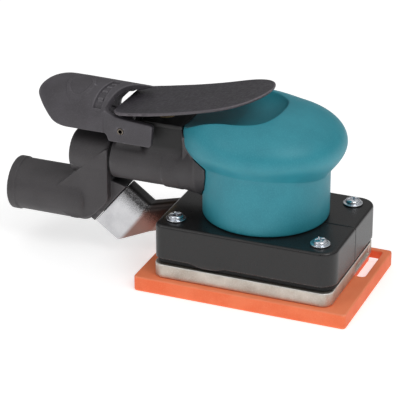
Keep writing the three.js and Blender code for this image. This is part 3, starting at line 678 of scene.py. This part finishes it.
def grip_skin(extra):
    """The grip's outer surface, grown by `extra`."""
    wall, top = GRIP_RADIUS + extra, GRIP_HIGH[2] + extra

    def at(x, y, z):
        dy = y - MOTOR_Y
        r = np.maximum(hypot(x, dy), 1e-6)
        cosine = x / r
        t = np.clip((np.arccos(np.clip(cosine, -1, 1)) - 1.2) / 1.2, 0, 1)
        rear = t * t * (3 - 2 * t)
        bulge = BULGE + extra - PINCH * (1 - cosine ** 2) + 1.6 * rear
        lip = 62.7 - (4.8 + 3.6 * rear) * abs(cosine) ** 3.6
        t = np.clip((z - lip) / (BULGE_Z - lip), 0, 1)
        ease = t ** 1.14
        slope = (bulge - wall) / (BULGE_Z - lip) * 1.5 * np.cos(t * math.pi / 2)
        under = (r - wall - (bulge - wall) * np.sin(ease * math.pi / 2)) / np.sqrt(1 + slope ** 2)
        power = 2.35 + 2.6 * rear
        height = np.maximum(z - BULGE_Z, 0) / (top - BULGE_Z)
        share = np.maximum(((r / bulge) ** power + height ** 2.05) ** (1 / power), 1e-3)
        over = (1 - 1 / share) * hypot(r, np.maximum(z - BULGE_Z, 0))
        return np.where(z < BULGE_Z, under, over)
    return at


def saddle_bar(shrink):
    """The bar along X that the housing's saddle fills, with round lower corners."""
    half, low, corner = SADDLE_HALF - shrink, SADDLE_Z + shrink, SADDLE_CORNER - shrink
    high = CAN_TOP + GAP - shrink
    round_top = high + 20  # far enough above the flat top to keep the upper corners out of it
    return meet(extrude(rectangle(-half, half, low, round_top, corner), X, -80, -14), half_space(Z, high))


def lever_bowl(x, y, z):
    """The scoop that the lever sinks into: rounded in front, deepening towards the rear."""
    middle_x, level = -14, 92
    front, rear, half, depth, power = 23.0, 62.0, 23.2, 14.0, 2.5
    along = x - middle_x
    down = z - level + np.maximum(-along, 0) * 0.13
    reach = np.where(along > 0, front, rear)
    a, b, c = abs(along) / reach, abs(y) / half, abs(down) / depth
    share = np.maximum((a ** power + b ** power + c ** power) ** (1 / power), 1e-3)
    return (1 - 1 / share) * hypot(along, y, down) * 0.8


def make_grip():
    body = meet(grip_skin(0), half_space(Z, GRIP_LOW[2], -1), r=0.5)
    body = cut(body, rod(Z, CAN_RADIUS + 0.4, GRIP_LOW[2] - PAST, CAN_TOP + GAP, 0, MOTOR_Y))
    body = cut(body, lever_bowl, r=0.45)
    body = cut(body, half_space(X, GRIP_LOW[0]), saddle_bar(0), r=0.35)
    make("soft_grip", body, 0.5, "housing", "grip_cover")


# ---- motor housing: can, handle, saddle, valve boss and pin boss in one moulding ----
def flare(x, y, z):
    """The handle growing into the saddle."""
    start, end = -48, -22
    t = np.clip((x - start - 2) / 17, 0, 1)
    radius, lift = HANDLE_RADIUS + 8.2 * t * t, 7.4 * t * t
    return np.maximum((hypot(y, z - HANDLE_Z - lift) - radius) * 0.8, np.maximum(start - x, x - end))


def make_housing():
    z0, handle_x, grip_x = HOUSING_LOW[2], HOUSING_LOW[0], GRIP_LOW[0]
    x, z, regulator_x = STEM_X, HANDLE_Z, centre("speed_regulator")[0]
    radius, chamfer = CAN_RADIUS, 2
    can = [[0, z0], [radius, z0], [radius, CAN_TOP - chamfer], [radius - chamfer, CAN_TOP], [0, CAN_TOP]]
    can = turned(Z, can, 0, MOTOR_Y)
    saddle = meet(saddle_bar(GAP), grip_skin(SADDLE_PROUD), half_space(X, -20), r=0.5)
    grip_room = cut(grip_skin(GAP), saddle_bar(GAP), half_space(X, grip_x - GAP))
    handle = rod(X, HANDLE_RADIUS, handle_x, -40, 0, z, 0.4)
    waist = rectangle(-57.5, grip_x, -BOSS_WAIST, BOSS_WAIST, 0, 2.5)
    waist = extrude(waist, Z, z, BOSS_TOP - 1, 0.5)
    rim = rectangle(-59, grip_x - 0.2, -BOSS_HALF, BOSS_HALF, 0, 2.5)
    rim = extrude(rim, Z, BOSS_TOP - 2.4, BOSS_TOP, 0.8)
    bridge = block(grip_x - GAP, -20, -BOSS_HALF, BOSS_HALF, z, CAN_TOP - 0.1, 0.5)
    pin_boss = eased([[-74, 55], [-60, 55], [-62.5, 73.6], [-71.5, 73.6]], 2.5)
    body = join(handle, cut(flare, grip_room), r=1.5)
    body = join(body, join(waist, rim, r=1.0), r=1.8)
    body = join(body, extrude(polygon(pin_boss), Y, -6.6, 6.6, 0.5), r=1.0)
    body = join(join(body, bridge), saddle, r=0.6)
    body = join(body, can)
    motor_room = rod(Z, 24.2, z0 - PAST, 70.3, 0, MOTOR_Y)
    air_way = [rod(X, 8.3, handle_x - PAST, -60, 0, z), rod(X, 5.2, -61, -46, 0, z),
               rod(X, 2.6, -47, -22, 0, z + 5.5)]
    valve_way = [rod(Z, 5.5, 37, 56, x), rod(Z, 2.3, 55, 72, x), rod(Z, 4.2, 70.2, BOSS_TOP + PAST, x)]
    regulator_seat = [rod(Y, 3.7, 5, 12, regulator_x, z),
                      block(regulator_x - 5, regulator_x + 5, 10.6, 18, z - 5, z + 5)]
    pin_hole = rod(Y, 1.75, -8, 8, PIN_X, PIN_Z)
    body = cut(body, motor_room, *air_way, *valve_way, pin_hole, *regulator_seat, r=0.25)
    make("housing_shell", body, 0.48, "housing", "motor_housing")


# ---- lever, its guard and their pin ----
def lever_rise(x):
    """The height of the paddle's upper face: it climbs and curves up towards the nose."""
    s = x - LEVER_LOW[0]
    return 80.8 + 0.12 * s + 0.00147 * s * s


def lever_half(x):
    """Half the paddle's width."""
    nose, front = 22.0, LEVER_HIGH[0]
    straight = 18.2 + 1.1 * min(1.0, (x - LEVER_LOW[0]) / 20)
    t = max(0.0, (x - front + nose) / nose)
    return straight * math.sqrt(max(0.0, 1 - t ** 2.1))


def lever_outline():
    """The paddle from above: two rounded rear corners and a round nose."""
    corner, steps, corner_steps = 6.5, 30, 6
    start = LEVER_LOW[0] + corner
    reach = LEVER_HIGH[0] - start
    stations = [start + reach * math.sin(i / steps * math.pi / 2) for i in range(steps + 1)]
    side = [(x, lever_half(x)) for x in stations]
    edge = side[0][1]
    arc = [(start - corner * math.sin(a), edge - corner + corner * math.cos(a))
           for a in np.linspace(0, math.pi / 2, corner_steps + 1)]
    upper = arc[::-1] + side[1:]
    return upper + [(x, -y) for x, y in upper[::-1][1:]]


def make_lever():
    plan = polygon(lever_outline())
    thick, edge = 1.6, 0.7

    def sheet(x, y, z):
        along = (abs(z - lever_rise(x) + thick / 2) - thick / 2) * 0.97 + edge
        return rimmed(plan(x, y) + edge, along) - edge

    def under_sheet(x, y, z):
        return z - lever_rise(x) + thick / 2

    lug = polygon(eased([[-69.4, 67.5], [-65.4, 67.5], [-60.4, 81], [-68.6, 80]], 1.2))
    inner, outer, eye = 7.1, 10.7, 3.4
    body = sheet
    for low, high in ((-outer, -inner), (inner, outer)):
        ear = join(extrude(lug, Y, low, high, 0.4), rod(Y, eye, low, high, PIN_X, PIN_Z, 0.4))
        body = join(body, meet(ear, under_sheet), r=0.8)
    body = cut(body, rod(Y, 1.75, -20, 20, PIN_X, PIN_Z))
    make("paddle", body, 0.4, "lever", "throttle_lever")


GUARD_NOSE = 15.5
GUARD_BASE = 68.5


def guard_shell(shrink):
    """The hood as a superelliptic arch that closes down to a rounded nose at the rear."""
    x0, x1 = GUARD_LOW[0] + shrink, -56.0

    def at(x, y, z):
        t = np.clip((x - x0) / GUARD_NOSE, 0, 1)
        s = np.maximum(np.sqrt(1 - (1 - t) ** 2), 0.06)
        sink = np.maximum(x + 92, 0) * 0.02
        rise = (1 - s) * 8
        half = GUARD_HIGH[2] - sink - GUARD_BASE
        ry = np.maximum(15.4 * s ** 0.8 - shrink, 0.4)
        rz = np.maximum((half - rise) * s ** 0.5 - shrink, 0.4)
        v = z - GUARD_BASE - rise
        share = np.maximum((abs(y / ry) ** 2.5 + abs(v / rz) ** 2.5) ** 0.4, 1e-3)
        return np.maximum((1 - 1 / share) * hypot(y, v), np.maximum((x0 - x) * 0.9, x - x1))
    return at


def guard_relief(x, y, z):
    """In place of lettering: a sunk strip with plain bars behind the mouth, and a raised oval ring."""
    aside = y + 5.5
    strip = np.maximum(abs(x + 77.6 - 0.25 * aside) - 2.2, abs(aside) - 8)
    sunk = np.clip(-strip / 0.4, 0, 1)
    pitch, bar_half = 3.4, 0.75
    bars = np.clip((bar_half - abs(aside % pitch - pitch / 2)) / 0.4, 0, 1)
    bars = bars * np.clip((-strip - 0.7) / 0.3, 0, 1)
    oval = abs(hypot((x + 91) / 6.0, aside / 6.8) - 1) * 6.4
    ring = np.clip((1.3 - oval) / 0.5, 0, 1)
    return (0.8 * bars - 1.2 * sunk + 0.45 * ring) * (z > 78)


def make_guard():
    wall = 2.9
    underside = [[-40, 68.5], [-97, 68.5], [-102, 70.2], [-107, 75.5], [-112, 80], [-130, 84]]
    bottom = extrude(polygon(eased([[-130, 40], [-40, 40], *underside], 4)), Y, -40, 40)
    skin = guard_shell(0)

    def patterned_skin(x, y, z):
        return skin(x, y, z) - guard_relief(x, y, z)

    mouth = [[-40, -30], [-76, -30], [-76, -14], [-73.6, -10.2], [-71.7, -5.5], [-69.5, 0], [-66.6, 3.6],
             [-63, 6], [-58, 8], [-52, 9], [-40, 10]]
    window = [[-40, 60], [-80, 60], [-79.8, 72.5], [-79, 74.6], [-73.5, 80.3], [-71.4, 80.6], [-67.5, 83.4],
              [-61, 85.2], [-40, 85.8]]
    shell = cut(patterned_skin, guard_shell(wall))
    shell = cut(shell, bottom, r=0.5)
    shell = cut(shell, extrude(polygon(eased(mouth, 2)), Z, 50, 110), r=0.6)
    shell = cut(shell, extrude(polygon(eased(window, 2)), Y, 0, 40), r=0.5)
    toe = [[-73.6, 64.4], [-52.9, 64.2], [-51.9, 65.2]]
    near = [[-86, 68.6], [-76, 68.5], [-74.6, 67.3], *toe, [-51.1, 74.6], [-52.2, 75.4], [-69.5, 77],
            [-73.5, 78.4], [-75.4, 80], [-80, 76], [-86, 71.5]]
    far = [[-93, 69.5], [-89, 65.4], *toe, [-51.1, 73.9], [-52.2, 74.6], [-68, 74.8], [-72, 73], [-75, 69.9],
           [-80, 69.3], [-86, 71.5]]
    inner, outer = 11.5, 14.7
    near_ear = extrude(polygon(eased(near, 1.2)), Y, -outer, -inner, 0.7)
    far_ear = extrude(polygon(eased(far, 1.2)), Y, inner, outer, 0.7)
    shell = join(shell, near_ear, far_ear, r=0.8)
    shell = cut(shell, rod(Y, 1.7, -20, 20, PIN_X, PIN_Z), r=0.2)
    make("guard_hood", shell, 0.36, "housing", "lever_guard", GUARD_PLASTIC.material)


def make_pin():
    low, high = span("lever_pin")
    radius, bore, slit_half = 1.6, 0.95, 0.22
    start, end = low[1] - PAST, high[1] + PAST
    sleeve = rod(Y, radius, low[1], high[1], PIN_X, PIN_Z, 0.3)
    slit = block(PIN_X - slit_half, PIN_X + slit_half, start, end, PIN_Z - PAST, PIN_Z)
    sleeve = cut(sleeve, rod(Y, bore, start, end, PIN_X, PIN_Z), slit, r=0.1)
    make("spring_pin", sleeve, 0.16, "housing", "lever_pin", PIN_STEEL.material)


# ---- inlet, vacuum fitting, duct ----
FITTING_JOINT = [[-68.4, 37.8], [-85.2, 17.2]]  # top and bottom of the slanting face where the duct starts


def make_fitting():
    x0, x1 = FITTING_LOW[0], span("collar_ring")[0][0] - GAP
    cap_radius, radius, bore, lip = 10.9, 12.6, 10.9, 0.5
    pipe_z = FITTING_LOW[2] + radius + 0.2
    cap = rod(X, cap_radius, -96.8, x1, 0, HANDLE_Z, 1.6)
    pipe = rod(X, radius, x0 + 1, -88, 0, pipe_z, 3.5)
    bead = rod(X, radius + lip, x0, x0 + 4.2, 0, pipe_z, 0.6)
    web = [[-107.4, 31.3], [-78.6, 56.6], [-77.8, 57.2], [x1, 57.6], [x1, 30.5], [-86, 20.6], [-94, 18.6],
           [-100, 20]]
    web = extrude(polygon(eased(web, [4, 1, 1, 0.4, 3, 6, 6, 6])), Y, -10.6, 10.6, 0.4)
    clear_top, clear_low = [[x - 0.25, z + 0.2] for x, z in FITTING_JOINT]
    neck = polygon([[-96, 24], [-84, 42], [x1 - 0.1, 42], [x1, 40.1], clear_top, clear_low])
    body = join(pipe, web, r=0.6)
    body = join(body, cap, r=0.5)
    body = join(body, extrude(neck, Y, -6.5, 6.5, 0.4), r=0.8)
    body = join(body, bead, r=0.1)
    inlet_room = rod(X, 8.6, -110, -70, 0, HANDLE_Z)
    pipe_bore = rod(X, bore, x0 - PAST, -95, 0, pipe_z)
    funnel = turned(X, [[0, -96], [bore, -96], [bore, -95], [5, -86], [0, -86]], 0, pipe_z)
    passage = extrude(polygon([[-93, 20], [-79, 34.6], [-66, 38.6], [-83.5, 15]]), Y, -4.4, 4.4)
    nozzle_low, nozzle_high = span("exhaust_nozzle")
    nozzle_z = nozzle_low[2] + 2.6
    nozzle_seat = rod(X, 2.2, -88, nozzle_high[0] + GAP, 0, nozzle_z)
    feed = rod(Z, 1.2, nozzle_z, 43.5, nozzle_high[0] - 1.4)
    body = cut(body, inlet_room, pipe_bore, passage, nozzle_seat, feed, funnel, r=0.3)
    make("dust_fitting", body, 0.42, "housing", "vacuum_fitting")


def make_inlet():
    low, high = span("inlet_bushing")
    radius, root, depth, pitch = 8.1, 5.9, 0.7, 1.35

    def thread(x, y, z):
        turn = np.arctan2(z - HANDLE_Z, y) / (2 * math.pi)
        phase = (x / pitch + turn) % 1
        return hypot(y, z - HANDLE_Z) - root - depth * (1 - 2 * abs(phase - 0.5))

    sleeve = cut(rod(X, radius, low[0], high[0], 0, HANDLE_Z, 0.4), thread)
    throat = low[0] + 1.6
    mouth = [[0, low[0] - PAST], [7.6, low[0] - PAST], [7.1, low[0]], [root, throat], [0, throat]]
    sleeve = cut(sleeve, turned(X, mouth, 0, HANDLE_Z), r=0.2)
    make("threaded_inlet", sleeve, 0.27, "housing", "inlet_bushing")


def make_collar():
    low, high = span("collar_ring")
    ring = rod(X, high[2] - HANDLE_Z, low[0], high[0], 0, HANDLE_Z, 0.15)
    bore = rod(X, 8.7, low[0] - PAST, high[0] + PAST, 0, HANDLE_Z)
    make("handle_ring", cut(ring, bore), 0.22, "housing", "collar_ring")


def make_duct():
    half, wall, crown, sidestep = 6.0, 1.5, 4.6, 11.0
    joint_top, joint_low = (np.array(point) for point in FITTING_JOINT)
    mitre_top, mitre_low = np.array([-57.4, 29.6]), np.array([-73.9, 8.6])
    port_x, y0, y1, z0, z1 = DUCT_HIGH[0], -1.0, 9.6, 18.3, 31.4

    def rounded(side, above, below, shrink):
        """The tube's section: wide rounding along the top, tight along the bottom."""
        upper = -_blend_min(-side, -above, crown - shrink)
        return -_blend_min(-upper, -below, 0.3 if shrink else 0.9)

    def straight(outline, shrink):
        """The half that runs down from the fitting's joint to the mitre."""
        ends = polygon(outline)
        down = (mitre_top - joint_top) / np.linalg.norm(mitre_top - joint_top)
        height = (joint_low[1] - joint_top[1]) * down[0] - (joint_low[0] - joint_top[0]) * down[1]

        def at(x, y, z):
            above = (z - joint_top[1]) * down[0] - (x - joint_top[0]) * down[1]
            section = rounded(abs(y) - half + shrink, above + shrink, height - above + shrink, shrink)
            return np.maximum(section, ends(x, z))
        return at

    def leg(shrink):
        """The bent half: it steps to one side after the mitre and gets narrower towards the port."""
        lean = (mitre_top[0] - mitre_low[0]) / (mitre_top[1] - mitre_low[1])
        end = port_x + (PAST if shrink else 0)

        def slant(x, mitre, port_z):
            return mitre[1] + (port_z - mitre[1]) * np.clip((x - mitre[0]) / (port_x - mitre[0]), 0, 1)

        def at(x, y, z):
            start = mitre_low[0] + (np.clip(z, mitre_low[1], z1) - mitre_low[1]) * lean
            aside = np.clip((x - start) / sidestep, 0, 1)
            wide = half + ((y1 - y0) / 2 - half) * aside
            side = abs(y - (y0 + y1) / 2 * aside) - wide
            above, below = z - slant(x, mitre_top, z1), (slant(x, mitre_low, z0) - z) * 0.87
            section = rounded(side + shrink, above + shrink, below + shrink, shrink)
            return np.maximum(section, np.maximum(x - end, (start - x) * 0.77))
        return at

    inward = wall * np.array([0.63, 0.77])
    past_joint = np.array([-1.2, 0.9])
    bore = [joint_top + past_joint - inward, joint_low + past_joint + inward,
            mitre_low + inward, mitre_top - inward]
    shell = join(straight([joint_top, joint_low, mitre_low, mitre_top], 0), leg(0))
    hollow = join(straight(bore, wall), leg(wall))
    make("bent_duct", cut(shell, hollow, r=0.2), 0.36, "housing", "vacuum_duct")


def make_legs():
    """Each rubber leg in two halves that meet at its waist: the upper stays put, the lower orbits."""
    slack, waist, end = 0.1, 3.3, 4
    for i in (1, 2, 3, 4):
        node = f"flex_leg_{i}"
        low, high = span(node)
        (x, y, middle), foot, roof = centre(node), low[2], high[2]
        split_low, split_high = middle - slack, middle + slack
        lower = eased([[end, foot], [end, foot + 2.2], [waist, foot + 4.5], [waist, split_low]], 0.6)
        upper = eased([[waist, split_high], [waist, roof - 4.5], [end, roof - 2.2], [end, roof]], 0.6)
        lower = turned(Z, [[0, foot], *lower, [0, split_low]], x, y)
        upper = turned(Z, [[0, split_high], *upper, [0, roof]], x, y)
        lower = cut(lower, rod(Z, 2.1, foot - PAST, 17.6, x, y), r=0.2)
        upper = cut(upper, rod(Z, 2.2, 23, roof + PAST, x, y), r=0.2)
        lower_box = low, np.array([high[0], high[1], middle])
        upper_box = np.array([low[0], low[1], middle]), high
        make(f"leg_foot_{i}", lower, 0.3, "pad", node, box=lower_box)
        make(f"leg_head_{i}", upper, 0.3, "housing", node, box=upper_box)


def make_spring():
    """A two-turn coil with closed ends."""
    low, high = span("valve_spring")
    wire, turns = 0.32, 2
    radius, start = (high[0] - low[0]) / 2 - wire, low[2] + wire
    pitch = (high[2] - wire - start) / turns

    def coil(x, y, z):
        along = np.arctan2(y, x - STEM_X) / (2 * math.pi)
        turn = np.round((z - start) / pitch - along) + along
        level = start + pitch * np.clip(turn, 0, turns)
        return hypot(hypot(x - STEM_X, y) - radius, z - level) - wire

    spring = make("valve_coil", coil, 0.12, "housing", "valve_spring")
    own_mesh(spring)


def make_regulator():
    low, high = span("speed_regulator")
    x, _, z = centre("speed_regulator")
    flutes, flute_depth, shank = 24, 0.16, 3.4
    radius, top = high[0] - x - flute_depth, high[1]

    def knob(px, py, pz):
        edge = radius + flute_depth * np.cos(flutes * np.arctan2(pz - z, px - x))
        return np.maximum(hypot(px - x, pz - z) - edge, np.maximum(top - 1.8 - py, py - top))

    body = join(rod(Y, shank, low[1], top - 1, x, z), knob)
    slot = block(x - 3, x + 3, top - 1.2, top + PAST, z - 0.6, z + 0.6)
    make("regulator_knob", cut(body, slot, r=0.15), 0.18, "regulator", "speed_regulator")


# ---- CAD nodes that keep their shape get a finish of their own ----
def finish_nodes():
    for name, node in frame["nodes"].items():
        node.data.materials.clear()
        node.data.materials.append(FINISHES[SLOTS[name]])


# ---- studio ----
CAMERA_TARGET = (-0.03302, 0, 0.03473)  # fitted to the photo's straight edges, with the angles and the lens
CAMERA_AZIMUTH, CAMERA_ELEVATION, CAMERA_DISTANCE = 22.14, 25.1, 1.0
CAMERA_LENS, CAMERA_SENSOR = 189.6, 36
LIGHT_TARGET, LIGHT_DISTANCE, LIGHT_SIZE = (0, 0, 0.04), 1.0, 0.5
SKY_HORIZON, SKY_OVERHEAD, SKY_STRENGTH = 0.03, 1.0, 0.8


def aim(thing, azimuth, elevation, distance, target):
    """Points a lamp or camera at the target; azimuth 0 is the -Y side, 90 the +X side."""
    a, e = math.radians(azimuth), math.radians(elevation)
    back = Vector((math.sin(a) * math.cos(e), -math.cos(a) * math.cos(e), math.sin(e)))
    thing.location = Vector(target) + back * distance
    thing.rotation_euler = back.to_track_quat("Z", "Y").to_euler()
    bpy.context.scene.collection.objects.link(thing)


def make_stage():
    size, floor_z, glow = 6.0, cad_bounds[0][2], 0.42
    mesh = bpy.data.meshes.new("floor")
    corners = [(-size, -size), (size, -size), (size, size), (-size, size)]
    mesh.from_pydata([(x, y, floor_z) for x, y in corners], [], [(0, 1, 2, 3)])
    f = Finish("pale_floor")
    cloud = f.noise(90, 3.0)
    f.colour(f.mix(f.remap(cloud, 0.3, 0.7, 0, 1), srgb(250, 250, 250), srgb(253, 253, 253)))
    f.roughness(f.remap(cloud, 0.3, 0.7, 0.7, 0.8))
    f.set("Emission Color", (1, 1, 1, 1))
    f.set("Emission Strength", glow)
    mesh.materials.append(f.material)
    floor = bpy.data.objects.new("floor", mesh)
    bpy.context.scene.collection.objects.link(floor)


def make_light(name, azimuth, elevation, power):
    """A square softbox aimed at the object."""
    data = bpy.data.lights.new(name, "AREA")
    data.size = LIGHT_SIZE
    data.energy = power
    aim(bpy.data.objects.new(name, data), azimuth, elevation, LIGHT_DISTANCE, LIGHT_TARGET)


def make_studio():
    """A sky that is dark up to the horizon and brightens evenly to overhead, and two softboxes."""
    scene = bpy.context.scene
    scene.world = bpy.data.worlds.new("studio")
    scene.world.use_nodes = True
    tree = scene.world.node_tree
    place = tree.nodes.new("ShaderNodeTexCoord")
    split = tree.nodes.new("ShaderNodeSeparateXYZ")
    ramp = tree.nodes.new("ShaderNodeValToRGB")
    background = tree.nodes["Background"]
    tree.links.new(place.outputs["Generated"], split.inputs[0])
    tree.links.new(split.outputs["Z"], ramp.inputs[0])
    tree.links.new(ramp.outputs[0], background.inputs["Color"])
    background.inputs["Strength"].default_value = SKY_STRENGTH
    for stop, level in zip(ramp.color_ramp.elements, (SKY_HORIZON, SKY_OVERHEAD)):
        stop.color = (level, level, level, 1)
    scene.view_settings.view_transform = "Standard"
    make_light("key", 55, 48, 2.4)
    make_light("side", -35, 35, 1.2)


def make_camera():
    data = bpy.data.cameras.new("camera")
    data.sensor_width = CAMERA_SENSOR
    data.lens = CAMERA_LENS
    camera = bpy.data.objects.new("camera", data)
    aim(camera, CAMERA_AZIMUTH, CAMERA_ELEVATION, CAMERA_DISTANCE, CAMERA_TARGET)
    bpy.context.scene.camera = camera


make_camera()
make_stage()
make_studio()
finish_nodes()
make_legs()
make_spring()
make_pad()
make_plate()
make_shroud()
make_seal()
make_screws()
make_grip()
make_housing()
make_lever()
make_guard()
make_pin()
make_fitting()
make_inlet()
make_collar()
make_duct()
make_regulator()

bpy.context.view_layer.update()
